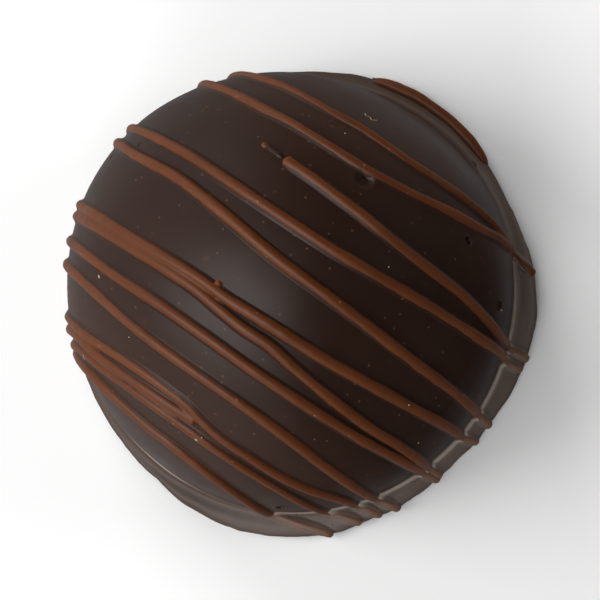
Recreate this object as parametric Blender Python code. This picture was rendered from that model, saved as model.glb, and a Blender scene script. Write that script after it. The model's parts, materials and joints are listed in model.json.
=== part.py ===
"""A dipped chocolate truffle: a ball-like dome of dark chocolate standing on a
spread foot, with thin strands of milk chocolate drizzled across it.

Metres, +Z up. The origin is the middle of the flat base, and the strands run
roughly along X. The coating is one turned body, pushed in and out where the
hand-dipped shell is uneven. Each strand is a body of its own that lies over
the coating, from the foot on one side to the foot on the other.
"""
import math

import bmesh
import bpy
from mathutils import Vector
from mathutils.bvhtree import BVHTree

MM = 0.001

# The coating's turned outline.
DOME_RADIUS = 16.2 * MM
COATING_HEIGHT = 20.6 * MM
WAIST_RADIUS = 15.9 * MM
WAIST_HEIGHT = 2.4 * MM
FILLET_REACH = 0.4 * MM
FOOT_TOP = 1.3 * MM
FOOT_RADIUS = 17.1 * MM
FOOT_THICKNESS = 1.15 * MM
RIM_ROUNDING = 0.5 * MM
BASE_EDGE_INSET = 0.3 * MM
SEGMENTS_ROUND = 72
MERGE_DISTANCE = 0.01 * MM
DOME_STEPS = 14
WALL_STEPS = 3
FILLET_STEPS = 4
LEDGE_STEPS = 3
RIM_STEPS = 4

# Where the shell is uneven: direction round Z in degrees, half width in
# degrees, and how far the shell stands in (-) or out (+) there.
DOME_LOBES = (
    (90.0, 30.0, -1.2 * MM),
    (135.0, 24.0, -0.4 * MM),
    (259.0, 26.0, -0.6 * MM),
)
FOOT_LOBES = (
    (300.0, 30.0, 0.85 * MM),
    (250.0, 18.0, -0.4 * MM),
    (351.0, 14.0, -0.1 * MM),
    (28.0, 24.0, 0.6 * MM),
    (62.0, 14.0, -0.45 * MM),
    (88.0, 16.0, -0.35 * MM),
    (117.0, 10.0, -0.35 * MM),
    (150.0, 25.0, -0.3 * MM),
)

# The drizzle: a strand's usual size, and its clearance to the coating.
STRAND_WIDTH = 0.75 * MM
STRAND_HEIGHT = 0.45 * MM
STRAND_GAP = 0.3 * MM
STRAND_END_HEIGHT = 0.85 * MM
DOME_STATION = 2.2 * MM
FOOT_STATION = 0.6 * MM
TIP_SCALE = 0.5

# How a strand's path is found: rays fan out from a line inside the coating.
FAN_HEIGHT = 4.0 * MM
FAN_DEGREES = 135
FAN_SETTLING_PASSES = 4
NORMAL_SMOOTHING_PASSES = 2

# Half of a strand's section, as shares of its half width and its height.
HALF_SECTION = ((1.0, 0.0), (0.92, 0.55), (0.42, 1.0))

# How far each strand lies to the side, in millimetres, at even places along
# X, and how wide it is at its two ends against the usual width.
LAY_PLACES = (-16.0, -12.0, -8.0, -4.0, 0.0, 4.0, 8.0, 12.0, 16.0)
CROSSING_STRANDS = (
    ((9.9, 10.3, 10.9, 11.2, 11.5, 11.5, 11.75, 11.5, 11.0), 1.0, 1.1),
    ((2.9, 3.0, 3.15, 3.1, 3.1, 3.2, 3.6, 4.05, 4.5), 1.1, 1.0),
    ((1.6, 1.2, 1.4, 1.15, 0.7, 0.5, 0.4, 0.25, 0.2), 1.0, 1.0),
    ((-3.5, -3.6, -3.55, -3.4, -3.35, -3.3, -3.05, -2.55, -1.8), 1.0, 1.0),
    ((-4.6, -4.65, -4.6, -4.5, -4.5, -4.5, -4.9, -5.0, -4.7), 1.0, 1.0),
    ((-6.2, -6.4, -6.5, -6.4, -6.4, -6.45, -6.35, -6.15, -5.8), 1.0, 1.0),
    ((-7.6, -7.95, -8.3, -8.7, -8.8, -8.8, -8.9, -9.15, -9.3), 0.9, 1.1),
    ((-10.6, -10.7, -10.7, -10.65, -10.8, -11.35, -11.2, -10.4, -9.8), 1.1, 1.1),
    ((-12.0, -12.0, -12.1, -12.15, -12.15, -12.35, -12.25, -12.0, -11.7), 1.8, 1.0),
    ((-12.6, -13.0, -13.3, -13.55, -13.9, -14.2, -14.35, -14.3, -14.2), 1.1, 1.0),
)

# The strand that runs into its neighbour near the rim, and the one that
# starts on the dome: same lay, with the X at which each stops or starts.
JOINING_LAY = (8.6, 8.55, 8.75, 8.95, 9.05, 9.4, 10.25, 10.6, 10.6)
JOINING_END_X = 9.6 * MM
STARTING_LAY = (6.5, 6.5, 6.5, 6.5, 6.5, 6.3, 6.05, 5.95, 5.5)
STARTING_X = -2.6 * MM

# The strand that lies along the foot's rim: directions round Z in degrees,
# its height above the base, and its width against the usual width.
FOOT_STRAND_FROM = 107.0
FOOT_STRAND_TO = 72.0
FOOT_STRAND_STEPS = 9
FOOT_STRAND_HEIGHT = 0.8 * MM
FOOT_STRAND_WIDTH = 1.3

DARK_CHOCOLATE = (0.040, 0.025, 0.019)
MILK_CHOCOLATE = (0.165, 0.080, 0.045)


def clear_scene():
    for thing in list(bpy.data.objects):
        bpy.data.objects.remove(thing, do_unlink=True)


def make_material(name, colour, roughness):
    material = bpy.data.materials.new(name)
    material.use_nodes = True
    shader = material.node_tree.nodes["Principled BSDF"]
    shader.inputs["Base Color"].default_value = (*colour, 1.0)
    shader.inputs["Roughness"].default_value = roughness
    shader.inputs["Metallic"].default_value = 0.0
    return material


def make_object(name, mesh_builder, material):
    """Turn a bmesh into a named, smooth-shaded object."""
    bmesh.ops.recalc_face_normals(mesh_builder, faces=mesh_builder.faces)
    mesh = bpy.data.meshes.new(name)
    mesh_builder.to_mesh(mesh)
    mesh_builder.free()
    mesh.materials.append(material)
    mesh.shade_smooth()
    mesh.set_sharp_from_angle(angle=math.radians(50.0))
    thing = bpy.data.objects.new(name, mesh)
    bpy.context.scene.collection.objects.link(thing)
    return thing


def smooth_step(share):
    share = min(1.0, max(0.0, share))
    return share * share * (3.0 - 2.0 * share)


def lobe_sum(direction, lobes):
    """How far the shell stands out at a direction round Z, in metres."""
    total = 0.0
    for middle, half_width, amount in lobes:
        apart = (direction - middle + 180.0) % 360.0 - 180.0
        total += amount * math.exp(-((apart / half_width) ** 2))
    return total


# ---- the coating ----

def dome_outline():
    """A round dome from the top down to its widest place."""
    centre = COATING_HEIGHT - DOME_RADIUS
    points = []
    for step in range(DOME_STEPS + 1):
        angle = math.radians(90.0) * step / DOME_STEPS
        points.append((DOME_RADIUS * math.sin(angle), centre + DOME_RADIUS * math.cos(angle)))
    return points


def wall_outline():
    """The wall draws in a little from the widest place to the waist."""
    top = COATING_HEIGHT - DOME_RADIUS
    points = []
    for step in range(1, WALL_STEPS + 1):
        share = step / WALL_STEPS
        radius = DOME_RADIUS + (WAIST_RADIUS - DOME_RADIUS) * smooth_step(share)
        points.append((radius, top + (WAIST_HEIGHT - top) * share))
    return points


def fillet_outline():
    """A hollow sweep out from the waist to the top of the foot."""
    drop = WAIST_HEIGHT - FOOT_TOP
    points = []
    for step in range(1, FILLET_STEPS + 1):
        angle = math.radians(90.0) * step / FILLET_STEPS
        radius = WAIST_RADIUS + FILLET_REACH * (1.0 - math.cos(angle))
        points.append((radius, WAIST_HEIGHT - drop * math.sin(angle)))
    return points


def ledge_outline():
    """The foot's nearly level top, out to where the rim starts to turn down."""
    inner = WAIST_RADIUS + FILLET_REACH
    outer = FOOT_RADIUS - RIM_ROUNDING
    points = []
    for step in range(1, LEDGE_STEPS + 1):
        share = step / LEDGE_STEPS
        points.append((inner + (outer - inner) * share, FOOT_TOP + (FOOT_THICKNESS - FOOT_TOP) * share))
    return points


def rim_outline():
    """The foot's rounded edge, turned in a little where it meets the base."""
    half = FOOT_THICKNESS / 2
    points = []
    for step in range(1, RIM_STEPS + 1):
        angle = math.radians(180.0) * step / RIM_STEPS
        inset = BASE_EDGE_INSET if step == RIM_STEPS else RIM_ROUNDING * (1.0 - math.sin(angle))
        points.append((FOOT_RADIUS - inset, half + half * math.cos(angle)))
    return points


def spin_outline(points):
    """Turn an outline that starts and ends on the axis into a closed body."""
    body = bmesh.new()
    verts = [body.verts.new((radius, 0.0, height)) for radius, height in points]
    edges = [body.edges.new(pair) for pair in zip(verts, verts[1:])]
    bmesh.ops.spin(body, geom=verts + edges, cent=(0.0, 0.0, 0.0), axis=(0.0, 0.0, 1.0),
                   angle=math.radians(360.0), steps=SEGMENTS_ROUND)
    bmesh.ops.remove_doubles(body, verts=body.verts, dist=MERGE_DISTANCE)
    return body


def foot_share(radius, height):
    """0 on the dome and the wall, 1 on the rim and the base, and between them on the ledge."""
    if height < FOOT_THICKNESS - MERGE_DISTANCE:
        return 1.0
    if height > FOOT_TOP + MERGE_DISTANCE:
        return 0.0
    inner = WAIST_RADIUS + FILLET_REACH
    return smooth_step((radius - inner) / (FOOT_RADIUS - RIM_ROUNDING - inner))


def make_uneven(body):
    """Push the turned body in and out: the ledge of the foot takes up the difference."""
    for vert in body.verts:
        radius = math.hypot(vert.co.x, vert.co.y)
        if radius < MERGE_DISTANCE:
            continue
        direction = math.degrees(math.atan2(vert.co.y, vert.co.x))
        on_foot = foot_share(radius, vert.co.z)
        push = (1.0 - on_foot) * (radius / DOME_RADIUS) ** 2 * lobe_sum(direction, DOME_LOBES)
        push += on_foot * (radius / FOOT_RADIUS) * lobe_sum(direction, FOOT_LOBES)
        vert.co.x *= 1.0 + push / radius
        vert.co.y *= 1.0 + push / radius


def build_coating(material):
    outline = dome_outline() + wall_outline() + fillet_outline() + ledge_outline() + rim_outline()
    body = spin_outline(outline + [(0.0, 0.0)])
    make_uneven(body)
    return make_object("coating", body, material)


# ---- the drizzle ----

def side_at(lay, x):
    """A strand's distance to the side at X, on a smooth curve through its places."""
    place = (x / MM - LAY_PLACES[0]) / (LAY_PLACES[1] - LAY_PLACES[0])
    place = min(max(place, 0.0), len(lay) - 1.0)
    cell = min(int(place), len(lay) - 2)
    share = place - cell
    before = lay[max(cell - 1, 0)]
    start, end = lay[cell], lay[cell + 1]
    after = lay[min(cell + 2, len(lay) - 1)]
    slope_in = (end - before) / 2
    slope_out = (after - start) / 2
    rise = end - start
    bend = (3 * rise - 2 * slope_in - slope_out) * share ** 2
    twist = (slope_in + slope_out - 2 * rise) * share ** 3
    return (start + slope_in * share + bend + twist) * MM


def drop_on_coating(coating, lay, angle):
    """The point and normal where a strand's section leaves the coating at an angle from up."""
    x = DOME_RADIUS * math.sin(angle)
    for _ in range(FAN_SETTLING_PASSES):
        inside = Vector((0.0, side_at(lay, x), FAN_HEIGHT))
        ahead = Vector((math.sin(angle), 0.0, math.cos(angle)))
        point, normal, _, _ = coating.ray_cast(inside, ahead)
        if point is None:
            return None
        x = point.x
    return point, normal


def crossing_route(coating, lay, from_x=-1.0, to_x=1.0):
    """A strand's path over the coating, from foot to foot or between two places on X."""
    route = []
    for degree in range(-FAN_DEGREES, FAN_DEGREES + 1):
        found = drop_on_coating(coating, lay, math.radians(degree))
        if found is None:
            continue
        point, normal = found
        if point.z < STRAND_END_HEIGHT or not from_x < point.x < to_x:
            continue
        step = DOME_STATION if point.z > WAIST_HEIGHT + DOME_STATION else FOOT_STATION
        if not route or (point - route[-1][0]).length > step:
            route.append((point, normal))
    return route


def foot_route(coating):
    """The path of the strand that lies along the foot's rim."""
    route = []
    for step in range(FOOT_STRAND_STEPS + 1):
        share = step / FOOT_STRAND_STEPS
        direction = math.radians(FOOT_STRAND_FROM + (FOOT_STRAND_TO - FOOT_STRAND_FROM) * share)
        inside = Vector((0.0, 0.0, FOOT_STRAND_HEIGHT))
        ahead = Vector((math.cos(direction), math.sin(direction), 0.0))
        point, normal, _, _ = coating.ray_cast(inside, ahead)
        route.append((point, normal))
    return route


def even_normals(route):
    """Average each normal with its neighbours', so that the strand doesn't twist."""
    normals = [normal for _, normal in route]
    for _ in range(NORMAL_SMOOTHING_PASSES):
        padded = [normals[0]] + normals + [normals[-1]]
        normals = [sum(padded[i:i + 3], Vector()).normalized() for i in range(len(normals))]
    return normals


def strand_ring(body, point, normal, along, width, height):
    """One section of a strand: flat under, rounded above, clear of the coating."""
    across = along.cross(normal).normalized()
    foot = point + normal * STRAND_GAP
    left = [(-share * width / 2, rise * height) for share, rise in HALF_SECTION]
    right = [(-aside, rise) for aside, rise in reversed(left)]
    return [body.verts.new(foot + across * aside + normal * rise) for aside, rise in left + right]


def skin_rings(body, rings):
    """Join the rings with faces and close both ends."""
    for ring, following in zip(rings, rings[1:]):
        for corner in range(len(ring)):
            after = (corner + 1) % len(ring)
            body.faces.new((ring[corner], ring[after], following[after], following[corner]))
    body.faces.new(rings[0])
    body.faces.new(rings[-1])


def build_strand(name, route, material, width_from=1.0, width_to=1.0):
    body = bmesh.new()
    normals = even_normals(route)
    last = len(route) - 1
    rings = []
    for index, (point, _) in enumerate(route):
        along = (route[min(index + 1, last)][0] - route[max(index - 1, 0)][0]).normalized()
        scale = TIP_SCALE if index in (0, last) else 1.0
        width = STRAND_WIDTH * (width_from + (width_to - width_from) * smooth_step(index / last))
        ring = strand_ring(body, point, normals[index], along, width * scale, STRAND_HEIGHT * scale)
        rings.append(ring)
    skin_rings(body, rings)
    return make_object(name, body, material)


def build_drizzle(coating_object, material):
    coating = BVHTree.FromPolygons(
        [vert.co for vert in coating_object.data.vertices],
        [tuple(face.vertices) for face in coating_object.data.polygons])
    for number, (lay, width_from, width_to) in enumerate(CROSSING_STRANDS, start=1):
        route = crossing_route(coating, lay)
        build_strand(f"strand_{number:02d}", route, material, width_from, width_to)
    build_strand("strand_joining", crossing_route(coating, JOINING_LAY, to_x=JOINING_END_X), material)
    build_strand("strand_starting", crossing_route(coating, STARTING_LAY, from_x=STARTING_X), material)
    build_strand("strand_on_foot", foot_route(coating), material, FOOT_STRAND_WIDTH, FOOT_STRAND_WIDTH)


clear_scene()
coating_body = build_coating(make_material("dark_chocolate", DARK_CHOCOLATE, 0.35))
build_drizzle(coating_body, make_material("milk_chocolate", MILK_CHOCOLATE, 0.4))
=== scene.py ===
"""The looks of a hand-dipped chocolate truffle: a dark shell on a spread foot,
with thin milk chocolate drizzled across it while the shell was still soft.
"""
import json
import math

import bpy
from mathutils import Matrix, Vector, noise
from mathutils.bvhtree import BVHTree

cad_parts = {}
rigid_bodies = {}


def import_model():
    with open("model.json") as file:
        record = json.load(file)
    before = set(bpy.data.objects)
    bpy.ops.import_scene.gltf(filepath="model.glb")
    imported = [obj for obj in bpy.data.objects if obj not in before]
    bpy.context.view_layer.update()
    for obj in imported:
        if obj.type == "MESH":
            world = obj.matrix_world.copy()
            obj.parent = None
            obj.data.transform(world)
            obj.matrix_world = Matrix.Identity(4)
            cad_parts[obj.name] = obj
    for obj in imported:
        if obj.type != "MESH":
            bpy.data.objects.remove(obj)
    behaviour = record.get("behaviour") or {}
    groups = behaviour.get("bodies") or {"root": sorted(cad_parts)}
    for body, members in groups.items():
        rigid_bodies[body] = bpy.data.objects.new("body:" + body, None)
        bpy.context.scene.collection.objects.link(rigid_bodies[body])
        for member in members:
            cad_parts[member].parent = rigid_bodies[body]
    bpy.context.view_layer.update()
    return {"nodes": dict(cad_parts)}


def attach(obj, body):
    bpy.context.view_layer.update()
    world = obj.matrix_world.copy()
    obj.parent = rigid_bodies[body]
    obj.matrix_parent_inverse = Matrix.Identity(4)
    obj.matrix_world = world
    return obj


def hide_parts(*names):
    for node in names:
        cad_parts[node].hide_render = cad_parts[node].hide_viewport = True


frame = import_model()
MM = 0.001


# ---------------------------------------------------------------- shell
# The shell is dark chocolate, dipped by hand and set down on a tray, where it
# ran out into a foot. It is a turned dome in the main, a little lumpy, with a
# ragged rim, and it holds a few burst air bubbles.

MERGE_DISTANCE = 0.01 * MM
QUAD_LIMIT = math.radians(60.0)
SHELL_ROUNDING = 2


def pick_only(*things):
    """Select these objects and nothing else."""
    bpy.ops.object.select_all(action="DESELECT")
    for thing in things:
        thing.select_set(True)
    bpy.context.view_layer.objects.active = things[0]


def finish_modifiers(thing):
    """Apply all the modifiers of an object."""
    pick_only(thing)
    for modifier in list(thing.modifiers):
        bpy.ops.object.modifier_apply(modifier=modifier.name)


def subdivide_all(thing, levels):
    """Round an object off by subdivision."""
    smoother = thing.modifiers.new("round", "SUBSURF")
    smoother.levels = levels
    smoother.render_levels = levels
    finish_modifiers(thing)


def ease(share):
    """From 0 to 1 with a soft start and a soft end."""
    share = min(1.0, max(0.0, share))
    return share * share * (3.0 - 2.0 * share)


shell = bpy.data.objects.new("shell", frame["nodes"]["coating"].data.copy())
bpy.context.scene.collection.objects.link(shell)
pick_only(shell)
bpy.ops.object.mode_set(mode="EDIT")
bpy.ops.mesh.select_all(action="SELECT")
bpy.ops.mesh.customdata_custom_splitnormals_clear()
bpy.ops.mesh.remove_doubles(threshold=MERGE_DISTANCE)
bpy.ops.mesh.tris_convert_to_quads(face_threshold=QUAD_LIMIT, shape_threshold=QUAD_LIMIT)
bpy.ops.mesh.normals_make_consistent(inside=False)
bpy.ops.object.mode_set(mode="OBJECT")
subdivide_all(shell, SHELL_ROUNDING)

# Slow hills and hollows of a shell dipped by hand: their height in mm, waves
# to a millimetre, and where they start in the noise.
SWELLS = (
    (0.10, 0.11, Vector((3.0, 8.0, 1.0))),
    (0.035, 0.33, Vector((7.0, 2.0, 5.0))),
)
SWELL_FADE_HEIGHT = 2.0 * MM

# Small teeth of the foot's rim: their depth in mm, waves to a millimetre, and
# their level in the noise.
RIM_TEETH = ((0.14, 0.55, 4.0), (0.05, 2.1, 9.0))
RIM_START = 16.2 * MM
RIM_WIDTH = 0.9 * MM
RIM_TOP = 2.2 * MM

# Where the dome sweeps down into its foot in a hollow skirt: direction round Z
# and half width in degrees, how far out in mm the skirt's hem lies.
SKIRTS = ((88.0, 36.0, 1.75), (-5.0, 55.0, 0.5), (255.0, 32.0, 0.95))
SKIRT_INNER_RADIUS = 12.0 * MM
SKIRT_OUTER_RADIUS = 17.3 * MM
SKIRT_OUTER_FADE = 2.3 * MM
HEM_HEIGHT = 1.3 * MM
HEM_FADE = 2.4 * MM

# How far the crease round the foot dips below its rim: direction round Z in
# degrees, half width in degrees, depth in mm.
CREASE_DIPS = ((92.0, 42.0, 0.22), (265.0, 40.0, 0.15))
CREASE_INNER_RADIUS = 14.0 * MM
CREASE_RADIUS = 15.9 * MM
CREASE_WIDTH = 1.3 * MM
CREASE_TOP = 2.4 * MM
CREASE_TOP_FADE = 0.8 * MM

# Below this height the skirt and the crease leave the foot as it is.
LEDGE_BOTTOM = 0.5 * MM
LEDGE_FADE = 0.5 * MM


def normals_of(thing):
    return [vert.normal.copy() for vert in thing.data.vertices]


def move_verts(thing, places):
    """Give an object's vertices new places."""
    thing.data.vertices.foreach_set("co", [number for place in places for number in place])
    thing.data.update()


def shell_swell(place, normal):
    """The slow hills and hollows, which die out at the foot."""
    swell = sum(height * noise.noise(place / MM * waves + start) for height, waves, start in SWELLS)
    return normal * swell * MM * ease(place.z / SWELL_FADE_HEIGHT)


def rim_raggedness(place):
    """The foot's rim broke into small teeth as it set."""
    out = Vector((place.x, place.y, 0.0))
    if place.z > RIM_TOP or out.length < RIM_START:
        return Vector()
    ragged = sum(depth * noise.noise(Vector((place.x, place.y, level * MM)) / MM * waves)
                 for depth, waves, level in RIM_TEETH)
    return out.normalized() * ragged * MM * ease((out.length - RIM_START) / RIM_WIDTH)


def lobes_at(place, lobes):
    """The height of bell-shaped lobes in a place's direction round Z."""
    direction = math.degrees(math.atan2(place.y, place.x))
    total = 0.0
    for middle, half_width, height in lobes:
        apart = (direction - middle + 180.0) % 360.0 - 180.0
        total += height * math.exp(-((apart / half_width) ** 2))
    return total


def skirt_sweep(place):
    """How far a place moves out with the skirt."""
    out = Vector((place.x, place.y, 0.0))
    if out.length < SKIRT_INNER_RADIUS or place.z < LEDGE_BOTTOM:
        return Vector()
    hem = lobes_at(place, SKIRTS)
    above = math.exp(-max(0.0, place.z - HEM_HEIGHT) / HEM_FADE)
    hem *= above * ease((place.z - LEDGE_BOTTOM) / LEDGE_FADE)
    inside = min(1.0, max(0.0, (SKIRT_OUTER_RADIUS - out.length) / SKIRT_OUTER_FADE))
    return out.normalized() * hem * MM * inside


def crease_dip(place):
    """Where the foot ran out widest, its top sinks towards the dome."""
    out = math.hypot(place.x, place.y)
    if not LEDGE_BOTTOM < place.z < CREASE_TOP or out < CREASE_INNER_RADIUS:
        return 0.0
    inside = 1.0 - ease((out - CREASE_RADIUS) / CREASE_WIDTH)
    return lobes_at(place, CREASE_DIPS) * MM * inside * ease((CREASE_TOP - place.z) / CREASE_TOP_FADE)


shaped = []
for vert, normal in zip(shell.data.vertices, normals_of(shell)):
    place = vert.co + shell_swell(vert.co, normal) + rim_raggedness(vert.co) + skirt_sweep(vert.co)
    place.z -= crease_dip(vert.co)
    shaped.append(place)
move_verts(shell, shaped)

# Where air burst through: place on the dome (x, y, in mm), radius of the pit,
# its depth, and the height of the raised ring round it. The one with a depth
# below 0 is a blister that held.
BUBBLES = (
    (2.65, 8.35, 0.72, 0.19, 0.02),
    (3.2, 8.72, 0.26, -0.06, 0.0),
    (10.0, 9.25, 0.31, 0.30, 0.07),
    (5.6, 15.15, 0.36, 0.40, 0.02),
    (10.6, 5.45, 0.18, 0.10, 0.05),
    (-12.6, 2.0, 0.16, 0.08, 0.02),
    (-14.6, 0.3, 0.20, 0.10, 0.02),
    (13.8, 7.1, 0.26, 0.12, 0.10),
    (-0.9, -3.0, 0.30, 0.07, 0.0),
    (8.9, -13.25, 0.38, 0.18, 0.04),
)
# How far round each bubble, in mm, the faces are cut finer, each time again.
BUBBLE_CUTS = (1.5, 1.1, 0.8)
# The form of a pit, in shares of its radius.
PIT_REACH = 2.2
PIT_FLOOR = 0.25
PIT_WALL = 0.85
RING_RADIUS = 1.15
RING_WIDTH = 0.3
# How much a pit's mouth is turned up from the shell's own way of facing.
MOUTH_UPTURN = Vector((0.0, 0.0, 0.6))

HIGH_ABOVE = 100.0 * MM
DOWN = Vector((0.0, 0.0, -1.0))


def drop_from_above(tree, x, y):
    """Where something dropped at x, y lands, and how the surface faces there."""
    point, normal, _, _ = tree.ray_cast(Vector((x, y, HIGH_ABOVE)), DOWN)
    return point, normal


def tree_of(*things):
    """A search tree of the faces of some objects."""
    places, faces = [], []
    for thing in things:
        start = len(places)
        places.extend(vert.co for vert in thing.data.vertices)
        faces.extend(tuple(corner + start for corner in face.vertices) for face in thing.data.polygons)
    return BVHTree.FromPolygons(places, faces)


def refine_near(thing, centres, reach):
    """Cut the faces near the centres in four, bulging them with the surface."""
    pick_only(thing)
    bpy.ops.object.mode_set(mode="EDIT")
    bpy.ops.mesh.select_all(action="DESELECT")
    bpy.ops.object.mode_set(mode="OBJECT")
    for face in thing.data.polygons:
        if any((face.center - centre).length < reach for centre in centres):
            face.select = True
    bpy.ops.object.mode_set(mode="EDIT")
    bpy.ops.mesh.select_mode(type="FACE")
    bpy.ops.mesh.subdivide(number_cuts=1, smoothness=1.0)
    bpy.ops.object.mode_set(mode="OBJECT")


shell_tree = tree_of(shell)
bubble_places = [drop_from_above(shell_tree, x * MM, y * MM) for x, y, *_ in BUBBLES]
for reach in BUBBLE_CUTS:
    refine_near(shell, [point for point, _ in bubble_places], reach * MM)

shaped = [vert.co.copy() for vert in shell.data.vertices]
for (point, normal), (_, _, radius, depth, ring) in zip(bubble_places, BUBBLES):
    mouth = (normal + MOUTH_UPTURN).normalized()
    for place in shaped:
        apart = (place - point).length / (radius * MM)
        if apart < PIT_REACH:
            hollow = depth * (1.0 - ease((apart - PIT_FLOOR) / PIT_WALL))
            raised = ring * math.exp(-((apart - RING_RADIUS) / RING_WIDTH) ** 2)
            place += mouth * (raised - hollow) * MM
move_verts(shell, shaped)
shell.data.shade_smooth()


def new_material(name):
    """A material with its nodes and links."""
    material = bpy.data.materials.new(name)
    material.use_nodes = True
    return material, material.node_tree.nodes, material.node_tree.links


def colour_node(nodes, links, value, stops):
    """A ramp from a value to a colour."""
    ramp = nodes.new("ShaderNodeValToRGB")
    while len(ramp.color_ramp.elements) < len(stops):
        ramp.color_ramp.elements.new(0.5)
    for element, (place, colour) in zip(ramp.color_ramp.elements, stops):
        element.position = place
        element.color = (*colour, 1.0)
    links.new(value, ramp.inputs["Fac"])
    return ramp.outputs["Color"]


def share_ramp(nodes, links, value, stops):
    """A ramp from a value to a share."""
    return colour_node(nodes, links, value, [(place, (share, share, share)) for place, share in stops])


def noise_node(nodes, links, where, scale, detail=2.0, roughness=0.5):
    texture = nodes.new("ShaderNodeTexNoise")
    texture.inputs["Scale"].default_value = scale
    texture.inputs["Detail"].default_value = detail
    texture.inputs["Roughness"].default_value = roughness
    links.new(where, texture.inputs["Vector"])
    return texture.outputs["Fac"]


def range_node(nodes, links, value, low, high, to_low, to_high, smooth=False):
    """Carry the range from low to high over to another range, and hold its ends."""
    remap = nodes.new("ShaderNodeMapRange")
    if smooth:
        remap.interpolation_type = "SMOOTHSTEP"
    remap.inputs["From Min"].default_value = low
    remap.inputs["From Max"].default_value = high
    remap.inputs["To Min"].default_value = to_low
    remap.inputs["To Max"].default_value = to_high
    links.new(value, remap.inputs["Value"])
    return remap.outputs["Result"]


def mix_node(nodes, links, share, first, colour):
    """Lay a share of one colour over another."""
    mixer = nodes.new("ShaderNodeMix")
    mixer.data_type = "RGBA"
    links.new(share, mixer.inputs["Factor"])
    links.new(first, mixer.inputs["A"])
    mixer.inputs["B"].default_value = (*colour, 1.0)
    return mixer.outputs["Result"]


def along_node(nodes, links, where, direction):
    """How far a place lies in a direction."""
    dot = nodes.new("ShaderNodeVectorMath")
    dot.operation = "DOT_PRODUCT"
    dot.inputs[1].default_value = direction
    links.new(where, dot.inputs[0])
    return dot.outputs["Value"]


def math_node(nodes, links, operation, *values):
    result = nodes.new("ShaderNodeMath")
    result.operation = operation
    for value, socket in zip(values, result.inputs):
        if isinstance(value, float):
            socket.default_value = value
        else:
            links.new(value, socket)
    return result.outputs["Value"]


def bump_node(nodes, links, height, strength, distance, before=None):
    bump = nodes.new("ShaderNodeBump")
    bump.inputs["Strength"].default_value = strength
    bump.inputs["Distance"].default_value = distance
    links.new(height, bump.inputs["Height"])
    if before is not None:
        links.new(before, bump.inputs["Normal"])
    return bump.outputs["Normal"]


SPECK_CORE = 0.6


def strew_specks(nodes, links, where, base, cell, radius, colour):
    """Small soft dots at random, one to a cell (both sizes in mm)."""
    cells = nodes.new("ShaderNodeTexVoronoi")
    cells.inputs["Scale"].default_value = 1.0 / (cell * MM)
    links.new(where, cells.inputs["Vector"])
    edge = radius * MM / (cell * MM)
    share = range_node(nodes, links, cells.outputs["Distance"], edge * SPECK_CORE, edge, 1.0, 0.0)
    return mix_node(nodes, links, share, base, colour)


# Where a noise is called low and high: nearly all of it lies between.
NOISE_LOW = 0.3
NOISE_HIGH = 0.7
GRAIN_DETAIL = 3.0
GRAIN_ROUGHNESS = 0.6


def set_finish(nodes, links, where, sheen, waves, grain, ior):
    """A chocolate's gloss and the fine unevenness of its skin.

    The sheen is given as a noise's scale and detail, and the roughness at its
    low and at its high. Waves and grain are given as scale, strength and
    height in mm.
    """
    shader = nodes["Principled BSDF"]
    scale, detail, shiny, dull = sheen
    patches = noise_node(nodes, links, where, scale, detail)
    gloss = range_node(nodes, links, patches, NOISE_LOW, NOISE_HIGH, shiny, dull)
    links.new(gloss, shader.inputs["Roughness"])
    scale, strength, height = waves
    normal = bump_node(nodes, links, noise_node(nodes, links, where, scale), strength, height * MM)
    scale, strength, height = grain
    fine = noise_node(nodes, links, where, scale, GRAIN_DETAIL, GRAIN_ROUGHNESS)
    normal = bump_node(nodes, links, fine, strength, height * MM, normal)
    links.new(normal, shader.inputs["Normal"])
    shader.inputs["IOR"].default_value = ior


# The dark chocolate's own two tones, in patches, and painted light: both flanks
# of the dome are painted browner and brighter by the distance from the middle.
DARK_TONES = ((NOISE_LOW, (0.0190, 0.0088, 0.0058)), (NOISE_HIGH, (0.0230, 0.0107, 0.0070)))
DARK_PATCH_SCALE = 160.0
PATCH_DETAIL = 3.0
FLANK_PAINTED_LIGHT_COLOUR = (0.032, 0.0152, 0.0100)
FLANK_PAINTED_LIGHT_START = 5.0 * MM
FLANK_PAINTED_LIGHT_FULL = 12.0 * MM

# Painted reflection and highlight: the foot's top is painted a paler grey where
# it catches the light, with a painted highlight line in its crease. How much of
# that colour shows on each, at shares of the height set below.
PAINTED_REFLECTION_COLOUR = (0.34, 0.283, 0.243)
PAINTED_REFLECTION_HEIGHT = 6.0 * MM
FOOT_PAINTED_REFLECTION = ((0.08, 0.05), (0.18, 0.23), (0.25, 0.28), (0.36, 0.16), (0.5, 0.04), (0.7, 0.0))
CREASE_PAINTED_HIGHLIGHT = ((0.24, 0.0), (0.29, 0.85), (0.34, 0.6), (0.47, 0.0))
# Both are painted most on one side: the way that side lies, between which
# distances in mm the painted light comes up, and the share of it that shows before them.
FOOT_REFLECTION_SIDE = ((1.0, 0.05, 0.0), 2.0, 12.0, 0.40)
CREASE_HIGHLIGHT_SIDE = ((-0.2, -1.0, 0.0), -14.0, -7.0, 0.1)

# Pale specks and soft brown spots: size of a cell in mm that holds one, its
# radius in mm and its colour.
DARK_SPECKS = (0.88, 0.108, (0.078, 0.036, 0.018))
DARK_SPOTS = (3.9, 0.34, (0.040, 0.016, 0.009))

DARK_SHEEN = (420.0, 4.0, 0.30, 0.38)
DARK_WAVES = (620.0, 0.25, 0.02)
DARK_GRAIN = (5200.0, 0.25, 0.004)
DARK_IOR = 1.5


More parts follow.
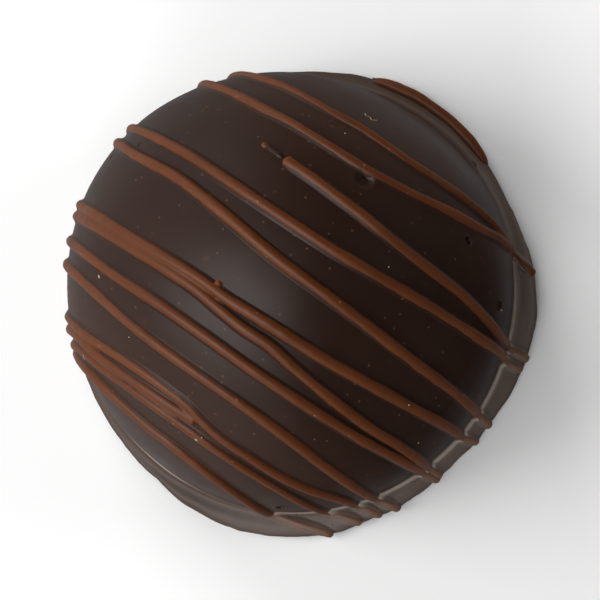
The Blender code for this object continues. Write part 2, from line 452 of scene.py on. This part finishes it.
def paint_reflection(nodes, links, where, base, heights, side):
    """Paint reflected light on the chocolate in pale grey at some heights, more towards one side."""
    height = along_node(nodes, links, where, (0.0, 0.0, 1.0))
    up_foot = range_node(nodes, links, height, 0.0, PAINTED_REFLECTION_HEIGHT, 0.0, 1.0)
    painted_share = share_ramp(nodes, links, up_foot, heights)
    direction, start, full, least = side
    along = along_node(nodes, links, where, direction)
    towards = range_node(nodes, links, along, start * MM, full * MM, least, 1.0)
    return mix_node(nodes, links, math_node(nodes, links, "MULTIPLY", painted_share, towards), base, PAINTED_REFLECTION_COLOUR)


def dark_chocolate():
    material, nodes, links = new_material("dark_chocolate")
    where = nodes.new("ShaderNodeTexCoord").outputs["Object"]
    patches = noise_node(nodes, links, where, DARK_PATCH_SCALE, PATCH_DETAIL)
    base = colour_node(nodes, links, patches, DARK_TONES)
    # Painted light: the dome's flanks are painted browner and brighter.
    aside = math_node(nodes, links, "ABSOLUTE", along_node(nodes, links, where, (0.0, 1.0, 0.0)))
    flank_painted_light = range_node(nodes, links, aside, FLANK_PAINTED_LIGHT_START, FLANK_PAINTED_LIGHT_FULL, 0.0, 1.0, smooth=True)
    base = mix_node(nodes, links, flank_painted_light, base, FLANK_PAINTED_LIGHT_COLOUR)
    # Painted reflection on the foot and a painted highlight in its crease.
    base = paint_reflection(nodes, links, where, base, FOOT_PAINTED_REFLECTION, FOOT_REFLECTION_SIDE)
    base = paint_reflection(nodes, links, where, base, CREASE_PAINTED_HIGHLIGHT, CREASE_HIGHLIGHT_SIDE)
    base = strew_specks(nodes, links, where, base, *DARK_SPECKS)
    base = strew_specks(nodes, links, where, base, *DARK_SPOTS)
    links.new(base, nodes["Principled BSDF"].inputs["Base Color"])
    set_finish(nodes, links, where, DARK_SHEEN, DARK_WAVES, DARK_GRAIN, DARK_IOR)
    return material


def dress(thing, material):
    """Give an object this one material."""
    thing.data.materials.clear()
    thing.data.materials.append(material)


dark = dark_chocolate()
dress(shell, dark)
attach(shell, "root")
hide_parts("coating")
shell_tree = tree_of(shell)


# -------------------------------------------------------------- drizzle
# The drizzle is milk chocolate flung from a fork in thin threads, all one
# way. Each thread sank a little into the soft shell, hangs down both sides of
# the dome and ends in a blunt drop at the foot's rim.

# The places each thread passes (x, y, in mm, seen from above), from left to
# right, in order from the far side of the dome to the near one.
COURSES = {
    "far": ((-12.6, 9.9), (-10, 10.45), (-8, 10.75), (-6, 10.95), (-4, 11.05), (-2, 11.1), (0, 11.3),
            (2, 11.3), (4, 11.3), (6, 11.45), (8, 11.55), (10, 11.5), (11.5, 11.2), (13.4, 11.0)),
    "joining": ((-14, 8.3), (-12, 8.4), (-10, 8.5), (-8, 8.6), (-6, 8.65), (-4, 8.8), (-2, 8.85), (0, 8.9),
                (2, 9.0), (4, 9.25), (6, 9.6), (8, 10.1), (10, 10.55), (11, 10.95), (12, 11.0)),
    "short": ((-2.4, 6.4), (0, 6.38), (2, 6.28), (4, 6.2), (6, 6.05), (8, 5.95), (10, 5.9), (12, 5.85),
              (14, 5.55), (15, 5.35), (16.3, 5.55)),
    "second": ((-16, 2.8), (-14, 2.85), (-12, 2.95), (-8, 3.1), (-4, 3.05), (0, 3.05), (4, 3.15), (6, 3.35),
               (8, 3.55), (10, 3.8), (12, 4.0), (14, 4.25), (15.4, 4.5), (16.6, 4.65)),
    "third": ((-16, 1.55), (-14, 1.3), (-12, 1.2), (-10, 1.3), (-8, 1.4), (-6, 1.3), (-4, 1.13), (-2, 0.93),
              (0, 0.7), (2, 0.55), (4, 0.5), (8, 0.4), (12, 0.25), (16, 0.2), (17, 0.05)),
    "fourth": ((-16, -3.65), (-14, -3.75), (-12, -3.7), (-8, -3.65), (-6, -3.55), (-4, -3.45), (-2, -3.4),
               (0, -3.45), (2, -3.35), (4, -3.25), (6, -3.15), (8, -3.0), (10, -2.75), (12, -2.5),
               (14, -2.2), (16, -1.8), (17, -1.5)),
    "fifth": ((-16, -4.55), (-14, -4.45), (-12, -4.4), (-8, -4.25), (-6, -4.15), (-4, -4.1), (-2, -4.1),
              (0, -4.3), (2, -4.45), (4, -4.4), (6, -4.65), (8, -4.85), (10, -5.0), (12, -5.05),
              (14, -4.9), (16.2, -5.0)),
    "sixth": ((-15.5, -6.15), (-12, -6.3), (-8, -6.4), (-4, -6.3), (0, -6.3), (4, -6.35), (8, -6.25),
              (10, -6.15), (12, -6.0), (14, -5.7), (15.2, -5.5), (16.2, -5.35)),
    "seventh": ((-14.5, -7.6), (-12, -7.85), (-10, -8.0), (-8, -8.2), (-6, -8.4), (-4, -8.55), (0, -8.65),
                (4, -8.65), (8, -8.75), (10, -8.9), (12, -9.0), (13.2, -9.0), (14.9, -8.7)),
    "eighth": ((-12.5, -10.6), (-10, -10.85), (-8, -10.95), (-6, -10.85), (-4, -10.75), (-2, -10.7),
               (0, -10.75), (1.2, -10.85), (2.4, -11.15), (4, -11.35), (6, -11.3), (8, -11.25), (10, -10.95),
               (12, -10.3), (14.5, -9.8)),
    "melting": ((-11.5, -11.4), (-9, -11.4), (-6, -11.6), (-4, -11.6), (-2, -11.55), (0, -11.5),
                (1.2, -11.4), (2.4, -11.25)),
    "ninth": ((-10.5, -12.2), (-8, -12.05), (-6, -12.15), (-2, -12.15), (2, -12.15), (4, -12.2), (8, -12.1),
              (10.5, -11.9), (13.3, -11.1)),
    "near": ((-10.3, -12.4), (-8, -12.85), (-6, -13.05), (-4, -13.3), (-2, -13.5), (0, -13.7), (2, -13.85),
             (4, -14.0), (6, -14.1), (7.6, -14.15), (9.5, -13.8), (12.3, -12.9)),
}
# Threads that start on the dome or stop on it: at which x.
STARTS = {"short": -2.6 * MM}
STOPS = {"joining": 11.6 * MM, "melting": 2.3 * MM}
WELL_PAST = 1000.0 * MM

THREAD_STEP = 0.25 * MM
THREAD_END_HEIGHT = 0.7 * MM
LEAST_HEADWAY = 0.2
WALK_LIMIT = 180
EVENING_PASSES = 3


def side_at(places, x):
    """The y of a thread at x, on a smooth curve through its places."""
    xs = [place[0] * MM for place in places]
    ys = [place[1] * MM for place in places]
    if x <= xs[0]:
        return ys[0]
    if x >= xs[-1]:
        return ys[-1]
    cell = max(i for i in range(len(xs) - 1) if xs[i] <= x)
    width = xs[cell + 1] - xs[cell]

    def slope(i):
        low, high = max(i - 1, 0), min(i + 1, len(xs) - 1)
        return (ys[high] - ys[low]) / (xs[high] - xs[low])

    share = (x - xs[cell]) / width
    rise = ys[cell + 1] - ys[cell]
    start, end = slope(cell) * width, slope(cell + 1) * width
    bend = (3 * rise - 2 * start - end) * share ** 2
    return ys[cell] + start * share + bend + (start + end - 2 * rise) * share ** 3


def walk_thread(places, point, normal, way):
    """Step along the shell from a point until the thread is down at the foot's rim."""
    path = []
    for _ in range(WALK_LIMIT):
        ahead = Vector((normal.z, 0.0, -normal.x))
        if ahead.length < LEAST_HEADWAY:
            break
        point = point + ahead.normalized() * way * THREAD_STEP
        point.y = side_at(places, point.x)
        point, normal, _, _ = shell_tree.find_nearest(point)
        path.append((point, normal))
        if point.z < THREAD_END_HEIGHT:
            break
    return path


def even_out(path):
    """Average each normal with its neighbours' so that the thread doesn't jitter."""
    normals = [normal for _, normal in path]
    for _ in range(EVENING_PASSES):
        padded = [normals[0]] + normals + [normals[-1]]
        normals = [sum(padded[i:i + 3], Vector()).normalized() for i in range(len(normals))]
    return [(point, normal) for (point, _), normal in zip(path, normals)]


def lay_thread(places, from_x=-WELL_PAST, to_x=WELL_PAST):
    """Points and normals on the shell where a thread lies, from one foot over the dome to the other."""
    start = drop_from_above(shell_tree, 0.0, side_at(places, 0.0))
    path = list(reversed(walk_thread(places, *start, -1.0))) + [start] + walk_thread(places, *start, 1.0)
    return even_out([(point, normal) for point, normal in path if from_x < point.x < to_x])


paths = {name: lay_thread(places, STARTS.get(name, -WELL_PAST), STOPS.get(name, WELL_PAST))
         for name, places in COURSES.items()}

# The thread that slid down and came to rest along the foot's rim: from which
# direction round Z, over how many degrees, and how high.
RIM_THREAD_FROM = 105.5
RIM_THREAD_SWEEP = 37.0
RIM_THREAD_STEPS = 40
RIM_THREAD_HEIGHT = 0.8 * MM

rim_path = []
for step in range(RIM_THREAD_STEPS + 1):
    direction = math.radians(RIM_THREAD_FROM - RIM_THREAD_SWEEP * step / RIM_THREAD_STEPS)
    ahead = Vector((math.cos(direction), math.sin(direction), 0.0))
    point, normal, _, _ = shell_tree.ray_cast(Vector((0.0, 0.0, RIM_THREAD_HEIGHT)), ahead)
    rim_path.append((point, normal))
paths["rim"] = even_out(rim_path)

THREAD_RADIUS = 0.42 * MM
THREAD_ROUNDNESS = 5
THREAD_SINK = 0.06 * MM
GIRTHS = {"rim": 1.45, "near": 1.1, "melting": 1.1}

# How a thread's girth wanders: by which share, in how many waves to a step,
# and where in the noise each thread reads it.
WANDERS = ((0.12, 0.06, 7.3, 0.0), (0.05, 0.33, 3.1, 5.0))

# A thread's end is rounded off over its last stretch, down to a small share of
# its section at the very tip, and is a little swollen before that.
TIP_LENGTH = 0.4 * MM
TIP_LENGTHS = {"rim": 2.0 * MM}
TIP_LEAST_SECTION = 0.04
END_DROP = 0.18
END_DROP_LENGTH = 0.6 * MM

# Low down the thread ran thinner and sank deeper.
LOW_HEIGHT = 1.4 * MM
LOW_FADE = 2.2 * MM
LOW_THINNING = 0.18
LOW_SINK = 0.5


def tip_share(path, index, length):
    """How thick a thread is where it is rounded off towards its ends."""
    to_end = min(index, len(path) - 1 - index) * THREAD_STEP / length
    return math.sqrt(max(TIP_LEAST_SECTION, 1.0 - max(0.0, 1.0 - to_end) ** 2))


def new_tube(name, radius, roundness):
    """An empty curve with a round section, and its object."""
    curve = bpy.data.curves.new(name, "CURVE")
    curve.dimensions = "3D"
    curve.bevel_depth = radius
    curve.bevel_resolution = roundness
    curve.use_fill_caps = True
    tube = bpy.data.objects.new(name, curve)
    bpy.context.scene.collection.objects.link(tube)
    return tube, curve


def tube_to_mesh(tube):
    pick_only(tube)
    bpy.ops.object.convert(target="MESH")
    return bpy.context.view_layer.objects.active


def pipe_thread(name, path, seed, girth=1.0, tip_length=TIP_LENGTH):
    """A round thread along a path, its girth wandering a little as it was flung."""
    tube, curve = new_tube(name, THREAD_RADIUS, THREAD_ROUNDNESS)
    spline = curve.splines.new("POLY")
    spline.points.add(len(path) - 1)
    for index, (point, normal) in enumerate(path):
        thickness = 1.0
        for share, waves, thread_shift, level in WANDERS:
            thickness += share * noise.noise(Vector((index * waves, seed * thread_shift, level)))
        to_end = min(index, len(path) - 1 - index) * THREAD_STEP
        swollen = 1.0 + END_DROP * math.exp(-((to_end / END_DROP_LENGTH) ** 2))
        thickness *= girth * tip_share(path, index, tip_length) * swollen
        low = 1.0 - ease((point.z - LOW_HEIGHT) / LOW_FADE)
        thickness *= 1.0 - LOW_THINNING * low
        spline.points[index].co = (*(point - normal * THREAD_SINK * (1.0 + LOW_SINK * low)), 1.0)
        spline.points[index].radius = thickness
    thread = tube_to_mesh(tube)
    thread.data.shade_smooth()
    return thread


MELD_VOXEL = 0.07 * MM
MELD_SOFTENING = 0.5
MELD_PASSES = 4


def meld(parts, name):
    """Threads that ran together become one piece with soft seams."""
    pick_only(*parts)
    bpy.ops.object.join()
    piece = bpy.context.view_layer.objects.active
    piece.name = name
    fuse = piece.modifiers.new("fuse", "REMESH")
    fuse.mode = "VOXEL"
    fuse.voxel_size = MELD_VOXEL
    soften = piece.modifiers.new("soften", "SMOOTH")
    soften.factor = MELD_SOFTENING
    soften.iterations = MELD_PASSES
    finish_modifiers(piece)
    piece.data.shade_smooth()
    return piece


# The milk chocolate's two tones, in patches, and its pale specks.
MILK_TONES = ((NOISE_LOW, (0.078, 0.0212, 0.0050)), (NOISE_HIGH, (0.100, 0.0280, 0.0072)))
MILK_PATCH_SCALE = 240.0
MILK_SPECKS = (1.3, 0.10, (0.18, 0.085, 0.040))

# Low down on one side the threads are painted a paler grey, like the foot, as
# painted reflection: up to what height, by what share, and between which
# distances along that side it comes up.
MILK_PAINTED_REFLECTION = (0.135, 0.088, 0.064)
MILK_REFLECTION_FULL_HEIGHT = 1.5 * MM
MILK_REFLECTION_TOP = 3.2 * MM
MILK_REFLECTION_SHARE = 0.6
MILK_REFLECTION_SIDE = (0.75, -0.65, 0.0)
MILK_REFLECTION_SIDE_START = 2.0 * MM
MILK_REFLECTION_SIDE_FULL = 8.0 * MM

MILK_SHEEN = (700.0, 3.0, 0.33, 0.42)
MILK_WAVES = (1500.0, 0.3, 0.03)
MILK_GRAIN = (6000.0, 0.25, 0.005)
MILK_IOR = 1.56


def milk_chocolate():
    material, nodes, links = new_material("milk_chocolate")
    where = nodes.new("ShaderNodeTexCoord").outputs["Object"]
    patches = noise_node(nodes, links, where, MILK_PATCH_SCALE, PATCH_DETAIL)
    base = colour_node(nodes, links, patches, MILK_TONES)
    # Painted reflection: low down on one side the milk is mixed towards a paler grey.
    height = along_node(nodes, links, where, (0.0, 0.0, 1.0))
    low = range_node(nodes, links, height, MILK_REFLECTION_FULL_HEIGHT, MILK_REFLECTION_TOP, MILK_REFLECTION_SHARE, 0.0, smooth=True)
    along = along_node(nodes, links, where, MILK_REFLECTION_SIDE)
    side = range_node(nodes, links, along, MILK_REFLECTION_SIDE_START, MILK_REFLECTION_SIDE_FULL, 0.0, 1.0)
    base = mix_node(nodes, links, math_node(nodes, links, "MULTIPLY", low, side), base, MILK_PAINTED_REFLECTION)
    base = strew_specks(nodes, links, where, base, *MILK_SPECKS)
    links.new(base, nodes["Principled BSDF"].inputs["Base Color"])
    set_finish(nodes, links, where, MILK_SHEEN, MILK_WAVES, MILK_GRAIN, MILK_IOR)
    return material


milk = milk_chocolate()


def serve_thread(piece, *nodes):
    dress(piece, milk)
    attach(piece, "root")
    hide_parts(*nodes)


# Lumps where two threads touch, and the drops that fell before the short one:
# place (x, y, in mm), radius in mm, and the share of it sunk in the shell.
MIDDLE_LUMPS = ((-1.0, -2.95, 0.32, 0.3), (3.6, -4.35, 0.36, 0.3))
SHORT_DROPS = ((-4.2, 6.5, 0.27, 0.25), (-3.85, 6.5, 0.22, 0.25))
BALL_SUBDIVISIONS = 3


def drop_lump(x, y, radius, sunk):
    """A small round lump set into the shell."""
    point, normal = drop_from_above(shell_tree, x * MM, y * MM)
    bpy.ops.mesh.primitive_ico_sphere_add(subdivisions=BALL_SUBDIVISIONS, radius=radius * MM,
                                          location=point - normal * radius * sunk * MM)
    return bpy.context.object


tubes = {}
for seed, (name, path) in enumerate(paths.items()):
    girth, tip_length = GIRTHS.get(name, 1.0), TIP_LENGTHS.get(name, TIP_LENGTH)
    tubes[name] = pipe_thread("thread_" + name, path, seed, girth, tip_length)
lumps = [drop_lump(*lump) for lump in MIDDLE_LUMPS]
drops = [drop_lump(*drop) for drop in SHORT_DROPS]
serve_thread(meld([tubes["far"], tubes["joining"]], "thread_far_pair"), "strand_01", "strand_joining")
serve_thread(meld([tubes["fourth"], tubes["fifth"]] + lumps, "thread_middle_pair"), "strand_04", "strand_05")
serve_thread(meld([tubes["eighth"], tubes["melting"], tubes["ninth"]], "thread_near_group"),
             "strand_08", "strand_09")
serve_thread(meld([tubes["short"]] + drops, "thread_short"), "strand_starting")
serve_thread(tubes["second"], "strand_02")
serve_thread(tubes["third"], "strand_03")
serve_thread(tubes["sixth"], "strand_06")
serve_thread(tubes["seventh"], "strand_07")
serve_thread(tubes["near"], "strand_10")
serve_thread(tubes["rim"], "strand_on_foot")
threads = [thing for thing in bpy.context.scene.objects if thing.name.startswith("thread_")]


# ---------------------------------------------------------------- welts
# Beside each thread the soft shell crept up in a hollow fillet, of the same
# dark chocolate, so the thread sits in a low welt and not on a bare surface.
# A thin dark ridge leads from the short thread to the drops before it.

WELT_REACH = 0.60 * MM
WELT_INNER = 0.33 * MM
WELT_RISE = 0.17 * MM
WELT_HOLLOWNESS = 1.5
WELT_SUNK_EDGE = 0.008 * MM
WELT_UNDERSIDE = 0.12 * MM
WELT_TIP_LENGTH = 1.0 * MM
WELT_SIDE_STEPS = 8


def welt_section():
    """Offsets across and heights of the welt, from one edge to the other."""
    half = []
    for step in range(WELT_SIDE_STEPS + 1):
        share = step / WELT_SIDE_STEPS
        across = WELT_REACH + (WELT_INNER - WELT_REACH) * share
        half.append((across, WELT_RISE * share ** WELT_HOLLOWNESS - WELT_SUNK_EDGE))
    left = [(-across, height) for across, height in half]
    return left + [(across, height) for across, height in reversed(half)]


def welt_rings(path):
    """The welt's section at every step of a thread, laid on the shell."""
    section = welt_section()
    rings = []
    last = len(path) - 1
    for index, (point, normal) in enumerate(path):
        along = (path[min(index + 1, last)][0] - path[max(index - 1, 0)][0]).normalized()
        across = along.cross(normal).normalized()
        girth = tip_share(path, index, WELT_TIP_LENGTH)
        ring = []
        for aside, height in section:
            near = point + across * aside * girth
            spot, facing, _, _ = shell_tree.find_nearest(near)
            ring.append(spot + facing * (height if height < 0 else height * girth))
        ring.append(point + across * WELT_INNER - normal * WELT_UNDERSIDE)
        ring.append(point - across * WELT_INNER - normal * WELT_UNDERSIDE)
        rings.append(ring)
    return rings


def skin(verts, faces, rings):
    """Join rings of points into a closed body."""
    size = len(rings[0])
    start = len(verts)
    for ring in rings:
        verts.extend(ring)
    for row in range(len(rings) - 1):
        for corner in range(size):
            after = (corner + 1) % size
            here = start + row * size
            faces.append((here + corner, here + size + corner, here + size + after, here + after))
    faces.append(tuple(range(start, start + size)))
    faces.append(tuple(reversed(range(len(verts) - size, len(verts)))))


welt_verts = []
welt_faces = []
for path in paths.values():
    skin(welt_verts, welt_faces, welt_rings(path))
welt_mesh = bpy.data.meshes.new("welts")
welt_mesh.from_pydata(welt_verts, [], welt_faces)
welts = bpy.data.objects.new("welts", welt_mesh)
bpy.context.scene.collection.objects.link(welts)
pick_only(welts)
bpy.ops.object.mode_set(mode="EDIT")
bpy.ops.mesh.select_all(action="SELECT")
bpy.ops.mesh.normals_make_consistent(inside=False)
bpy.ops.object.mode_set(mode="OBJECT")

RIDGE_COURSE = ((-4.6, 6.6), (-3.6, 6.5), (-2.2, 6.45))
RIDGE_START = -4.4 * MM
RIDGE_STOP = -2.3 * MM
RIDGE_SEED = 20
RIDGE_GIRTH = 0.55
ridge = pipe_thread("ridge", lay_thread(RIDGE_COURSE, RIDGE_START, RIDGE_STOP), RIDGE_SEED, RIDGE_GIRTH)
pick_only(welts, ridge)
bpy.ops.object.join()
welts.data.shade_smooth()
dress(welts, dark)
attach(welts, "root")


# --------------------------------------------------------------- crumbs
# A few pale crumbs of milk chocolate and sugar, a tenth to a third of a
# millimetre long, and one curl of lint lie on the shell and the drizzle.

# Place (x, y, in mm), length, width and turn in degrees of each crumb.
CRUMBS = (
    (-9.2, -7.1, 0.30, 0.15, 20.0), (-0.6, 10.4, 0.12, 0.12, 0.0), (2.7, -12.45, 0.22, 0.18, 50.0),
    (2.95, -12.1, 0.13, 0.10, 10.0), (-8.2, -12.5, 0.20, 0.16, 80.0), (-7.9, -12.3, 0.12, 0.10, 30.0),
    (-11.0, -12.1, 0.24, 0.16, 15.0), (13.2, -2.3, 0.16, 0.11, 65.0), (14.7, -4.0, 0.14, 0.10, 40.0),
    (-4.8, -9.3, 0.10, 0.10, 0.0), (7.4, 4.4, 0.12, 0.10, 0.0), (14.05, 6.9, 0.34, 0.12, 100.0),
)
CRUMB_FLATNESS = 0.6
CRUMB_UNEVENNESS = 0.5
CRUMB_WAVES = 9.0
LINT_COURSE = ((-0.9, 12.6), (-0.75, 12.4), (-0.5, 12.55), (-0.3, 12.5), (-0.15, 12.35), (0.05, 12.65))
LINT_RADIUS = 0.020 * MM
LINT_ROUNDNESS = 2
top_tree = tree_of(shell, *threads)


def shape_crumb(x, y, length, width, turn):
    """An uneven, flattish crumb lying on whatever is under it."""
    point, normal = drop_from_above(top_tree, x * MM, y * MM)
    bpy.ops.mesh.primitive_ico_sphere_add(subdivisions=BALL_SUBDIVISIONS, radius=0.5 * length * MM)
    crumb = bpy.context.object
    for vert in crumb.data.vertices:
        vert.co.y *= width / length
        vert.co.z *= CRUMB_FLATNESS * width / length
        vert.co *= 1.0 + CRUMB_UNEVENNESS * noise.noise(vert.co / MM * CRUMB_WAVES + Vector((x, y, 0.0)))
    lie = Matrix.Rotation(math.radians(turn), 4, "Z")
    crumb.matrix_world = Matrix.Translation(point) @ normal.to_track_quat("Z", "Y").to_matrix().to_4x4() @ lie
    return crumb


def curl_lint(places):
    """A fine fibre lying on the shell."""
    tube, curve = new_tube("lint", LINT_RADIUS, LINT_ROUNDNESS)
    spline = curve.splines.new("NURBS")
    spline.points.add(len(places) - 1)
    spline.use_endpoint_u = True
    for spot, (x, y) in zip(spline.points, places):
        point, normal = drop_from_above(shell_tree, x * MM, y * MM)
        spot.co = (*(point + normal * LINT_RADIUS), 1.0)
    return tube_to_mesh(tube)


crumb_bits = [shape_crumb(*crumb) for crumb in CRUMBS]
crumb_bits.append(curl_lint(LINT_COURSE))
pick_only(*crumb_bits)
bpy.ops.object.join()
crumbs = bpy.context.view_layer.objects.active
crumbs.name = "crumbs"
bpy.ops.object.transform_apply(location=True, rotation=True, scale=True)
crumbs.data.shade_smooth()

CRUMB_COLOUR = (0.42, 0.31, 0.21)
CRUMB_DARK_SHARE = 0.75
CRUMB_TONE_SCALE = 3000.0
CRUMB_ROUGHNESS = 0.7


def crumb_material():
    material, nodes, links = new_material("crumb")
    where = nodes.new("ShaderNodeTexCoord").outputs["Object"]
    tone = noise_node(nodes, links, where, CRUMB_TONE_SCALE)
    dark_tone = tuple(CRUMB_DARK_SHARE * part for part in CRUMB_COLOUR)
    tint = colour_node(nodes, links, tone, ((NOISE_LOW, dark_tone), (NOISE_HIGH, CRUMB_COLOUR)))
    links.new(tint, nodes["Principled BSDF"].inputs["Base Color"])
    nodes["Principled BSDF"].inputs["Roughness"].default_value = CRUMB_ROUGHNESS
    return material


dress(crumbs, crumb_material())
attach(crumbs, "root")


# ---------------------------------------------------------------- stage
# A plain pale table top, a room that is bright on the left, and the camera
# nearly overhead.

FLOOR_SIZE = 4.0
FLOOR_COLOUR = (0.80, 0.80, 0.80, 1.0)
FLOOR_ROUGHNESS = 0.9

bpy.ops.mesh.primitive_plane_add(size=FLOOR_SIZE, location=(0.0, 0.0, 0.0))
floor = bpy.context.object
floor.name = "floor"
floor.visible_glossy = False
floor_paint, nodes, links = new_material("pale_floor")
nodes["Principled BSDF"].inputs["Base Color"].default_value = FLOOR_COLOUR
nodes["Principled BSDF"].inputs["Roughness"].default_value = FLOOR_ROUGHNESS
floor.data.materials.append(floor_paint)

CAMERA_AZIMUTH = math.radians(81.0)
CAMERA_ELEVATION = math.radians(79.0)
CAMERA_ROLL = math.radians(34.0)
CAMERA_DISTANCE = 180.8 * MM
CAMERA_LENS = 150.0
CAMERA_NEAR_LIMIT = 10.0 * MM
LOOK_AT = Vector((0.0, 0.0, 4.4 * MM))
FRAMING = (0.72 * MM, -0.87 * MM)

backwards = Vector((math.sin(CAMERA_AZIMUTH) * math.cos(CAMERA_ELEVATION),
                    -math.cos(CAMERA_AZIMUTH) * math.cos(CAMERA_ELEVATION), math.sin(CAMERA_ELEVATION)))
rightwards = Vector((math.cos(CAMERA_ROLL), math.sin(CAMERA_ROLL), 0.0))
rightwards = (rightwards - backwards * rightwards.dot(backwards)).normalized()
upwards = backwards.cross(rightwards)
camera_data = bpy.data.cameras.new("camera")
camera_data.lens = CAMERA_LENS
camera_data.clip_start = CAMERA_NEAR_LIMIT
camera = bpy.data.objects.new("camera", camera_data)
bpy.context.scene.collection.objects.link(camera)
turn = Matrix((rightwards, upwards, backwards)).transposed()
spot = LOOK_AT + backwards * CAMERA_DISTANCE + rightwards * FRAMING[0] + upwards * FRAMING[1]
camera.matrix_world = Matrix.Translation(spot) @ turn.to_4x4()
bpy.context.scene.camera = camera

# The glows of the room: the way each lies, how nearly one has to face it for
# the glow to start and to be full (1 is straight at it), and the brightness
# at the start and at the full.
WALL = ((-0.81, -0.57, 0.14), -0.25, 0.55, 0.005, 0.27)
TABLE = ((0.0, 0.0, -1.0), 0.65, 1.0, 0.0, 0.12)
FAR_TABLE = ((-0.1, 0.82, -0.56), 0.78, 1.0, 0.0, 0.13)
# One wide soft patch high on the left is brighter than all of them.
PATCH_WAY = (-0.15, -0.50, 0.87)
PATCH_HALF_WIDTH = math.radians(43.0)
PATCH_GLOW = 1.7
BACKDROP_COLOUR = (0.9, 0.9, 0.9, 1.0)

world = bpy.data.worlds.new("studio")
world.use_nodes = True
bpy.context.scene.world = world
nodes, links = world.node_tree.nodes, world.node_tree.links
way = nodes.new("ShaderNodeTexCoord").outputs["Generated"]


def facing_node(towards):
    """How nearly a ray goes towards something, 1 when straight at it."""
    return along_node(nodes, links, way, Vector(towards).normalized())


def glow_node(towards, start, full, least, most):
    return range_node(nodes, links, facing_node(towards), start, full, least, most, smooth=True)


def patch_node():
    """A round patch of light that fades out towards its edge."""
    share = range_node(nodes, links, facing_node(PATCH_WAY), math.cos(PATCH_HALF_WIDTH), 1.0, 0.0, 1.0)
    squared = math_node(nodes, links, "MULTIPLY", share, share)
    return math_node(nodes, links, "MULTIPLY", squared, PATCH_GLOW)


upper_glow = math_node(nodes, links, "ADD", glow_node(*WALL), patch_node())
lower_glow = math_node(nodes, links, "ADD", glow_node(*TABLE), glow_node(*FAR_TABLE))
room = nodes["Background"]
links.new(math_node(nodes, links, "ADD", upper_glow, lower_glow), room.inputs["Color"])

# The camera itself sees a plain backdrop in place of the room.
backdrop = nodes.new("ShaderNodeBackground")
backdrop.inputs["Color"].default_value = BACKDROP_COLOUR
rays = nodes.new("ShaderNodeLightPath")
chooser = nodes.new("ShaderNodeMixShader")
links.new(rays.outputs["Is Camera Ray"], chooser.inputs["Fac"])
links.new(room.outputs["Background"], chooser.inputs[1])
links.new(backdrop.outputs["Background"], chooser.inputs[2])
links.new(chooser.outputs["Shader"], nodes["World Output"].inputs["Surface"])

# Large lamps give the soft shading: the key from the left, low down, weaker
# ones on both sides of it, and a faint one from the right. For each: the way
# it hangs, its width and its power in watts.
LAMPS = {
    "key_lamp": ((-0.654, -0.493, 0.574), 0.35, 2.0),
    "upper_left_lamp": ((-0.843, 0.410, 0.342), 0.30, 1.8),
    "lower_left_lamp": ((0.300, -0.890, 0.342), 0.30, 1.2),
    "right_lamp": ((0.640, 0.650, 0.420), 0.30, 0.8),
}
LAMP_DISTANCE = 0.5


def hang_lamp(name, towards, width, watts):
    lamp_data = bpy.data.lights.new(name, "AREA")
    lamp_data.shape = "DISK"
    lamp_data.size = width
    lamp_data.energy = watts
    lamp = bpy.data.objects.new(name, lamp_data)
    bpy.context.scene.collection.objects.link(lamp)
    way_up = Vector(towards).normalized()
    lamp.location = way_up * LAMP_DISTANCE
    lamp.rotation_euler = way_up.to_track_quat("Z", "Y").to_euler()
    lamp.visible_glossy = False


for name, lamp in LAMPS.items():
    hang_lamp(name, *lamp)
bpy.context.scene.view_settings.view_transform = "Standard"
